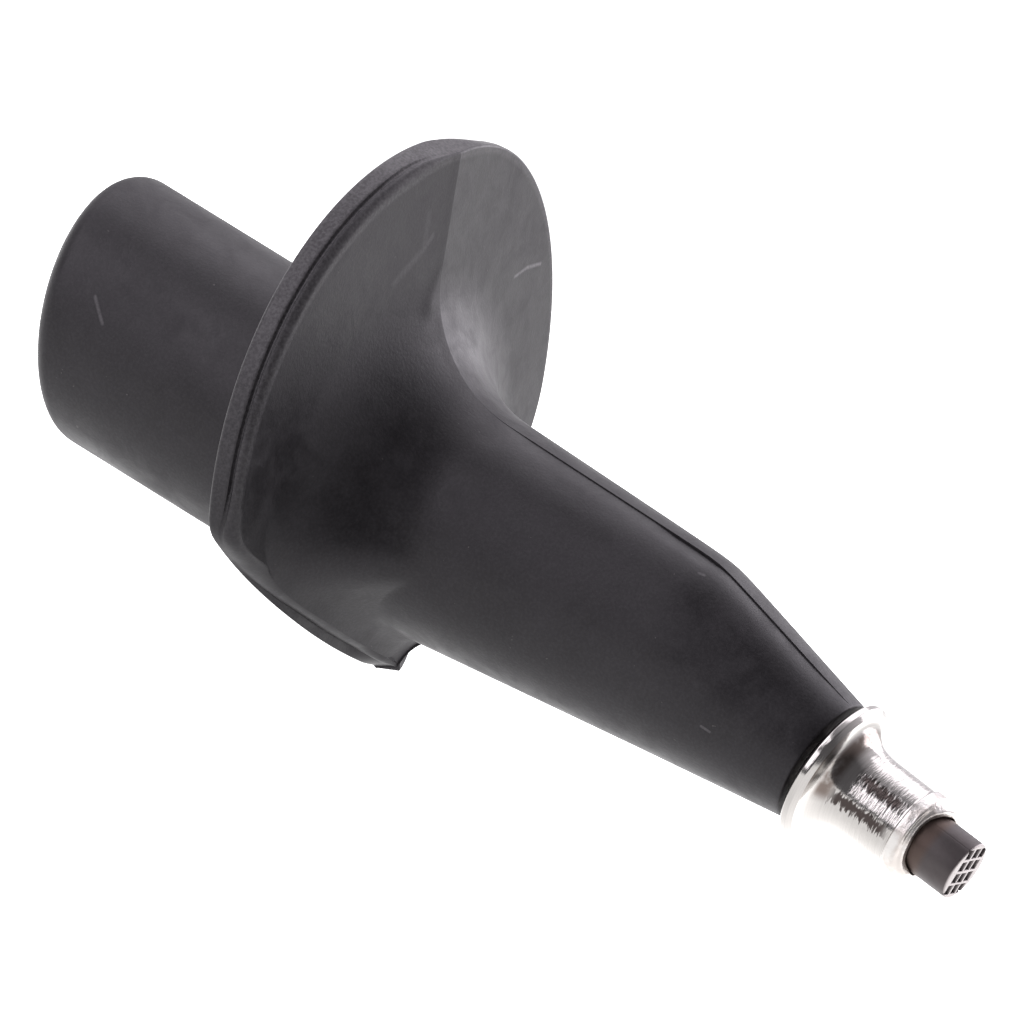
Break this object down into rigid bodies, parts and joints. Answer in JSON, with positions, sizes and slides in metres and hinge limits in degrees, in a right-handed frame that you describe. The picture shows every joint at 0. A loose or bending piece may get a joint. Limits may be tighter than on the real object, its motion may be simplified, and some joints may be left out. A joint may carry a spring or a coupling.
{
  "type": "walking pole tip",
  "caption": "Moulded pole tip with a slanted socket, a fan-shaped basket flange, a tapering nose, a flared steel ferrule and a short carbide pin.",
  "frame": {"origin": "centre of the flat seat at the bottom of the pole socket", "axes": "+X along the pole towards the ground end, +Z towards the basket's big lobe, symmetric about the XZ plane; -X is the way out of the socket"},
  "size_m": [0.0683, 0.0358, 0.032],
  "materials": {
    "moulded_body": "matte black moulded nylon, lightly scuffed and dusty",
    "plated_ferrule": "nickel plate over turned steel, fine turning marks",
    "carbide": "dark sintered carbide, dull, with a waffle of pits in its end"
  },
  "bodies": {
    "root": {"tip_body": "moulded_body", "steel_ferrule": "plated_ferrule", "carbide_pin": "carbide"}
  },
  "joints": []
}
